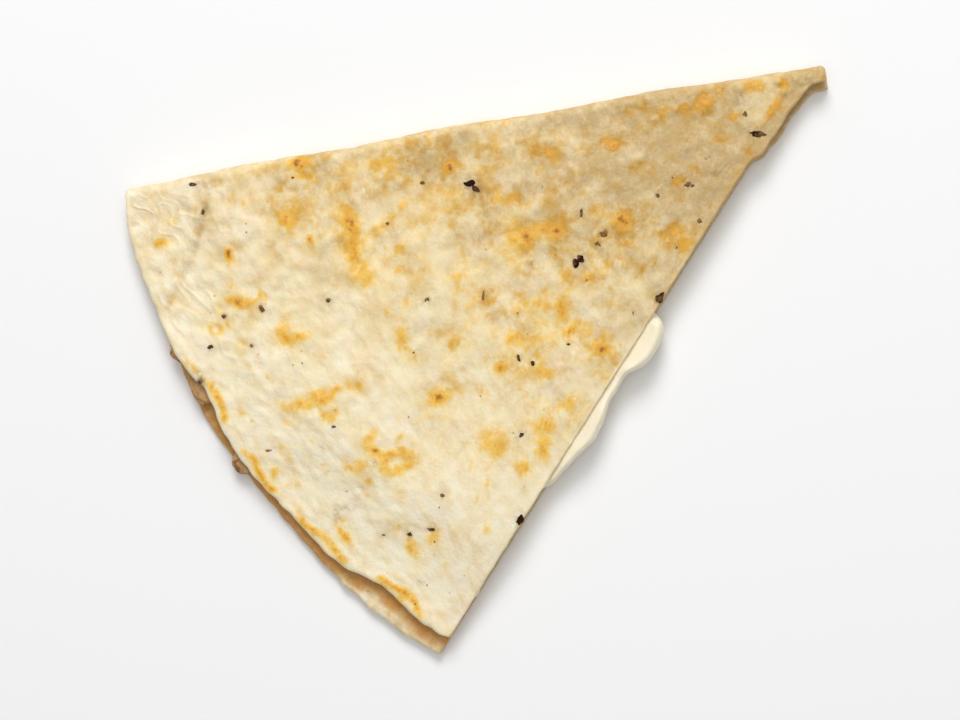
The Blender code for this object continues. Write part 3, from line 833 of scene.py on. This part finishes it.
def buildTortilla(material):
    # a sheet of even thickness along a U: lower leaf, bend and upper leaf, with relief
    upper, lower, fold = sectionEnds()
    half = wedge["leaf"] / 2
    share = np.linspace(0, 1, tortilla["underSteps"] + 1)
    under = across(lower, fold, mix(share**3, share, 0.4))  # closer where the inner side shows
    under = withHeight(under, half + lowerLift(under[..., 0], under[..., 1]))
    over = across(fold, upper, np.linspace(0, 1, tortilla["overSteps"] + 1))
    height = 3 * half + cavity(over[..., 0], over[..., 1]) + lowerLift(over[..., 0], over[..., 1])
    over = withHeight(over, height)
    turn = np.linspace(-math.pi / 2, math.pi / 2, tortilla["bendSteps"] + 2)[1:-1][None, :]
    low, high = under[:, -1, 2:], over[:, 0, 2:]
    inward = fold[:, 1:] - (wedge["foldDepth"] - half) * np.cos(turn)
    along = np.repeat(fold[:, :1], tortilla["bendSteps"], axis=1)
    bend = np.stack([along, inward, (low + high) / 2 + (high - low) / 2 * np.sin(turn)], -1)
    path = np.concatenate([under, bend, over], axis=1)

    step = np.arange(path.shape[1])
    onTop = smooth((step - tortilla["underSteps"] - 6) / 10)
    onBend = smooth((step - tortilla["underSteps"] + 1) / 4)
    fromEnd = np.minimum(fold[:, 0] - fold[0, 0], fold[-1, 0] - fold[:, 0])
    thick = np.sqrt(np.clip(1 - (1 - fromEnd / tortilla["endRound"]).clip(0, 1) ** 2, 0.12, 1))
    normal = surfaceNormals(path)
    relief = topRelief(path[..., 0], path[..., 1]) * onTop
    dent = (0.1 + 0.05 * waves(path[..., :2], 5, 17)).clip(0.015, 0.3) * (1 - onBend)
    relief += 0.06 * waves(path, 5, 18) * onBend * (1 - onTop) - dent
    outer = path - normal * (half * thick[:, None] + relief * thick[:, None])[..., None]
    inner = (path + normal * (half * thick)[:, None, None])[:, ::3]
    steps = np.arange(len(path))
    onRim = smooth((steps - tortilla["cutSections"]) / 6)
    depth = mix(tortilla["cutRound"], tortilla["rimRound"], onRim)
    depth = depth * mix(0.2, 1, smooth((len(path) - 1 - steps) / 12)) * thick
    near = roundLip(inner[:, 0], outer[:, 0], outwardOf(lower), depth, tortilla["lipSteps"])
    far = roundLip(outer[:, -1], inner[:, -1], outwardOf(upper), depth, tortilla["lipSteps"])
    points = np.concatenate([outer, far, inner[:, ::-1], near], axis=1)

    size = points.shape[1]
    count, innerCount, lip = outer.shape[1], inner.shape[1], tortilla["lipSteps"]
    middle = count + lip + innerCount // 2
    weight = np.zeros(size)
    weight[:count] = smooth((step - tortilla["underSteps"] - 2) / 6)
    weight[count:middle] = 1
    inside = np.zeros(size)  # 1 on the sides that face the filling
    inside[count + lip : count + lip + innerCount] = 1
    cutFace = np.zeros(points.shape[:2])  # 1 on the upper leaf's cut, where raw dough shows
    cutFace[: tortilla["cutSections"], count - 1 : count + lip] = 1
    lower = np.zeros(size)  # 1 on the side of the lower leaf that faces the filling
    lower[middle:] = 1
    # the cut lip paler away from the tip: painted light against the shade on the lip, over the raw
    # dough's own paleness
    pale = cutFace * smooth(points[..., 0] / 25 - 1.2)
    top = topMasks(points[..., 0], points[..., 1])
    below = underMasks(points[..., 0], points[..., 1])
    toast, tan, flour, soot = (mix(b, t, weight) for t, b in zip(top, below))
    innerTan, innerFlourAndLight, juiceAndShade = innerMasks(points[..., 0], points[..., 1])
    # tan, flour and juice carry painted shade and painted light as well as the leaf's own colour
    masks = {
        "toast": toast * (1 - inside) * (1 - 0.5 * cutFace) * (1 - lower),
        "tan": mix(mix(tan * (1 - 0.8 * pale), 0.35, inside), innerTan, lower),
        "flour": mix(mix(flour, 0.8, pale) * (1 - inside), innerFlourAndLight, lower),
        "soot": soot * (1 - inside) * (1 - lower),
        "juiceAndShade": juiceAndShade * lower,
    }
    faces = bandFaces(len(path), count, lip, 3)
    return addPiece("foldedTortilla", points.reshape(-1, 3), faces, masks, material)


cheese = {
    "fromFold": 4.8,
    "fromTip": 10,
    "fromRim": 10,
    "behindCut": 0.6,
    "into": 0.12,  # the melt sticks to both leaves
    "oozeStart": 62,
    "oozeEnd": 107.5,
    "oozeNeck": 1.7,
    "oozeBulges": [(68.8, 6, 5.2), (90, 7.5, 3.9)],  # distance from the tip, width, reach
    "oozeNose": 3.5,
    "oozeFade": 6,
    "fullness": 0.72,  # below 1, the lip is squarer than half an ellipse
    "rise": 3.8,
    "sag": 0.2,
    "cutSections": 300,
    "rimSections": 60,
    "layerSteps": 24,
    "lipSteps": 22,
}


def oozeDepth(radius):
    # how far the melt stands out of the cut: two bulges, a blunt nose and a thin end
    body = cheese["oozeNeck"] + 0.12 * waves(radius[..., None], 9, 61)
    for middle, width, reach in cheese["oozeBulges"]:
        body = body + (reach - cheese["oozeNeck"]) * bell(radius, middle, width)
    nose = 1 - np.clip((radius - cheese["oozeStart"]) / cheese["oozeNose"], 0, 1)
    ends = np.sqrt(1 - nose**2) * smooth((cheese["oozeEnd"] - radius) / cheese["oozeFade"])
    return cheese["behindCut"] / 2 + body * ends


def buildCheese(material):
    # a flat melt between the leaves whose front lip swells out and sags at the ooze
    reach = wedge["upperCutSide"] - cheese["fromRim"]
    last = reach * math.cos(wedge["cutAngle"])
    along = np.linspace(cheese["fromTip"], last, cheese["cutSections"] + 1)
    cut = plan(along, along * math.tan(wedge["cutAngle"]) - cheese["behindCut"])
    angle = np.linspace(wedge["cutAngle"], math.radians(2.6), cheese["rimSections"] + 1)[1:]
    inset = cheese["fromRim"] + 1.2 * np.sin(19 * angle) * smooth((wedge["cutAngle"] - angle) / 0.2)
    rim = (upperRim(angle) - inset)[:, None] * plan(np.cos(angle), np.sin(angle))
    edge = np.concatenate([cut, rim])
    back = np.linspace(along[-1], wedge["foldSide"] - cheese["fromRim"] - 1.5, cheese["rimSections"] + 1)
    back = np.concatenate([along, back[1:]])
    back = plan(back, foldLine(back) + cheese["fromFold"])

    share = 1 - (1 - np.linspace(0, 1, cheese["layerSteps"] + 1)) ** 1.6
    flat = across(back, edge, share)
    lift = lowerLift(flat[..., 0], flat[..., 1])
    room = cavity(flat[..., 0], flat[..., 1])
    bottom = withHeight(flat, wedge["leaf"] - cheese["into"] + lift)
    top = withHeight(flat, wedge["leaf"] + room + cheese["into"] + lift)
    radius = np.hypot(edge[:, 0], edge[:, 1])
    onCut = smooth((cheese["cutSections"] - 3 - np.arange(len(edge))) / 12)
    depth = mix(0.8, oozeDepth(radius), onCut)
    backOut = np.tile([0.0, -1.0], (len(edge), 1))
    near = roundLip(top[:, 0], bottom[:, 0], backOut, np.full(len(edge), 0.8), 3)
    out = outwardOf(edge)
    far = fullLip(bottom[:, -1], top[:, -1], out, depth, cheese["lipSteps"])
    turn = np.linspace(0, math.pi, cheese["lipSteps"] + 2)[1:-1][None, :]
    share = np.sin(turn)
    free = smooth((depth[:, None] - 1.2) / 2.5)
    push = 0.1 * waves(far, 7, 62) + 0.03 * waves(far, 2.5, 63)
    push -= 0.35 * smooth(1 - depth[:, None] / 1.5) * (1 + waves(far, 6, 64)) * share
    far[..., :2] += out[:, None] * (push * share)[..., None]
    far[..., 2] += cheese["rise"] * free * share * (1 - np.cos(turn)) / 2
    far[..., 2] -= cheese["sag"] * share * (depth[:, None] - 1).clip(0) * (1 + np.cos(turn)) / 2
    slide = 1.6 * bell(radius, cheese["oozeStart"] + 2.5, 3) * onCut
    alongCut = plan(np.cos(wedge["cutAngle"]), np.sin(wedge["cutAngle"]))
    far[..., :2] -= alongCut * (slide[:, None] * share**2)[..., None]
    points = np.concatenate([bottom, far, top[:, ::-1], near], axis=1)
    size = points.shape[1]
    faces = loopFaces(len(edge), size)
    for first in (0, (len(edge) - 1) * size):
        faces.append(list(range(first, first + size)))
    return addPiece("cheeseMelt", points.reshape(-1, 3), faces, {}, material)


# browned filling at the rim: size round the rim, in from it and high in mm, and turn
lumps = {
    "filling_chunk_1": (5.6, 6.0, 2.4, 14.4 + 8),
    "filling_chunk_2": (8.8, 5.0, 2.4, 17.8 - 4),
    "filling_chunk_3": (6.0, 7.0, 2.1, 25.1 + 12),
}


def buildLump(node, seed, material):
    # a ball drawn out to the lump's size, with knobs, crags and crumbs on it
    around, deep, high, turn = lumps[node]
    low, top = (unplace(corner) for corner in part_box(node))
    ball = ballPoints(60, 90)
    crag = waves(ball, 1.1, seed) * 0.07 + waves(ball, 0.5, seed + 1) * 0.03
    crag += np.abs(waves(ball, 0.26, seed + 2)) * 0.015
    points = np.sign(ball) * np.abs(ball) ** 0.72 * (1 + crag[:, None])
    points /= np.ptp(points, axis=0)
    points = points * (deep, around, high)
    turn = math.radians(turn)
    c, s = math.cos(turn), math.sin(turn)
    spin = np.array([[c, s, 0], [-s, c, 0], [0, 0, 1]])
    points = points @ spin + (low + top) / 2
    char = 0.8 * smooth((waves(ball, 0.7, seed + 5) - 1.3) / 0.5)
    return addPiece(node.replace("_", "") + "Lump", points, ballFaces(60, 90), {"char": char}, material)


def manyBalls(rows, columns, centres, sizes, turns, seed, rough):
    # one mesh of small uneven balls, each with its own size, turn and crags
    ball = ballPoints(rows, columns)
    count = len(centres)
    dice = np.random.default_rng(seed)
    shift = dice.uniform(-50, 50, (count, 1, 3))
    shape = ball[None] * (1 + rough * waves(ball[None] + shift, 1.2, seed + 1)[..., None])
    shape = shape * sizes[:, None, :]
    c, s = np.cos(turns)[:, None], np.sin(turns)[:, None]
    x, y = shape[..., 0] * c - shape[..., 1] * s, shape[..., 0] * s + shape[..., 1] * c
    points = np.stack([x, y, shape[..., 2]], -1) + centres[:, None, :]
    faces = [f for k in range(count) for f in ballFaces(rows, columns, k * len(ball))]
    return points, faces


def buildFlecks(material):
    # flat burnt flakes, half sunk into the upper leaf
    along, inward, long, wide, turn, black = flecks.T
    height = 2 * wedge["leaf"] + cavity(along, inward) + lowerLift(along, inward)
    height += topRelief(along, inward) + 0.02
    centres = np.stack([along, inward, height], 1)
    sizes = np.stack([long, wide, 0.07 + 0.1 * wide], 1)
    points, faces = manyBalls(7, 18, centres, sizes, np.radians(turn), 71, 0.2)
    burnt = np.repeat(black[:, None], points.shape[1], 1)
    return addPiece("burntFlecks", points.reshape(-1, 3), faces, {"burnt": burnt}, material)


def buildCrumbs(material):
    # crumbs of filling in the slit between the rims
    dice = np.random.default_rng(81)
    count = 150
    angle = wedge["cutAngle"] * dice.uniform(0.22, 0.97, count)
    radius = upperRim(angle) - dice.uniform(0.2, 3.5, count)
    along, inward = radius * np.cos(angle), radius * np.sin(angle)
    room = cavity(along, inward)
    size = np.minimum(room * 0.42, 1.1)[:, None] * dice.uniform(0.6, 1, (count, 1))
    size = size * dice.uniform([0.8, 0.8, 0.7], [1.5, 1.3, 1.0], (count, 3))
    size[:, 2] = np.minimum(size[:, 2], room * 0.46)
    height = wedge["leaf"] + lowerLift(along, inward) + size[:, 2] * 0.9
    centres = np.stack([along, inward, height], 1)
    points, faces = manyBalls(8, 14, centres, size, dice.uniform(0, 6, count), 83, 0.22)
    char = smooth((waves(points, 5, 85) - 0.6) / 0.5)
    return addPiece("fillingCrumbs", points.reshape(-1, 3), faces, {"char": char}, material)


tortillaSkin = tortillaMaterial()
filling = fillingMaterial()
foldedTortilla = buildTortilla(tortillaSkin)
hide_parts("tortilla")
cheeseMelt = buildCheese(cheeseMaterial())
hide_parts("melted_cheese")
for number, node in enumerate(lumps):
    lump = buildLump(node, 91 + 7 * number, filling)
    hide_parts(node)
buildFlecks(fleckMaterial())
buildCrumbs(filling)
print("pieces made")


studio = {
    "floor": (0.93, 0.93, 0.93),
    "floorShade": (0.85, 0.85, 0.85),
    "floorClouds": 60,
    "keyWay": (0.15, 0.9, 0.95),  # towards the key light
    "keyFar": 1.4,
    "keySize": 0.6,
    "keyPower": 12.4,
    "topPlace": (0.05, 0.0, 1.1),
    "topSize": 1.2,
    "topPower": 4.3,
    "sky": 0.3,
}


def addAreaLight(name, at, size, power):
    # a square soft light that looks at the wedge
    light = bpy.data.lights.new(name, "AREA")
    light.size = size
    light.energy = power
    lamp = bpy.data.objects.new(name, light)
    lamp.location = at
    lamp.rotation_mode = "QUATERNION"
    lamp.rotation_quaternion = (-Vector(at)).to_track_quat("-Z", "Y")
    bpy.context.scene.collection.objects.link(lamp)


def buildStudio():
    # a pale floor under the wedge, a key from the fold side, a large soft light above
    mesh = bpy.data.meshes.new("floor")
    corners = [(-1.5, -1.5, 0), (1.5, -1.5, 0), (1.5, 1.5, 0), (-1.5, 1.5, 0)]
    mesh.from_pydata(corners, [], [(0, 1, 2, 3)])
    floor = bpy.data.objects.new("floor", mesh)
    material, shader, graph = newMaterial("paleFloor", 0.8, 0.2)
    tone = graph.noise(graph.objectPlace(), studio["floorClouds"] * mm, 2)
    share = graph.ramp(tone, 0.3, 0.7, (0, 0.03))
    colour = graph.blend(share, studio["floor"], studio["floorShade"])
    graph.put(shader.inputs["Base Color"], colour)
    mesh.materials.append(material)
    bpy.context.scene.collection.objects.link(floor)
    key = Vector(studio["keyWay"]).normalized() * studio["keyFar"]
    addAreaLight("keyLight", key, studio["keySize"], studio["keyPower"])
    addAreaLight("topLight", studio["topPlace"], studio["topSize"], studio["topPower"])
    world = bpy.data.worlds.new("softRoom")
    world.use_nodes = True
    world.node_tree.nodes["Background"].inputs["Color"].default_value = (1, 1, 1, 1)
    world.node_tree.nodes["Background"].inputs["Strength"].default_value = studio["sky"]
    bpy.context.scene.world = world
    bpy.context.scene.view_settings.view_transform = "Standard"


view = {
    "roll": math.radians(9.3),  # the fold rises to the right
    "aim": (-0.0065, 0.004),  # right of and above the middle of the wedge's box
    "aside": 0.068,  # the camera stands right of and below what it looks at
    "below": 0.026,
    "height": 0.6,
    "lens": 106,
}


def addCamera():
    # almost straight down on the wedge's middle
    right = Vector((math.cos(view["roll"]), -math.sin(view["roll"]), 0))
    up = Vector((math.sin(view["roll"]), math.cos(view["roll"]), 0))
    middle = (cadLow + cadHigh) / 2 + right * view["aim"][0] + up * view["aim"][1]
    camera = bpy.data.objects.new("camera", bpy.data.cameras.new("camera"))
    camera.data.lens = view["lens"]
    camera.location = middle + right * view["aside"] - up * view["below"]
    camera.location += Vector((0, 0, view["height"]))
    back = (camera.location - middle).normalized()
    side = up.cross(back).normalized()
    tall = back.cross(side)
    turn = [[side[k], tall[k], back[k]] for k in range(3)]
    camera.rotation_mode = "QUATERNION"
    camera.rotation_quaternion = Matrix(turn).to_quaternion()
    bpy.context.scene.collection.objects.link(camera)
    bpy.context.scene.camera = camera


buildStudio()
addCamera()
print("studio and camera set")
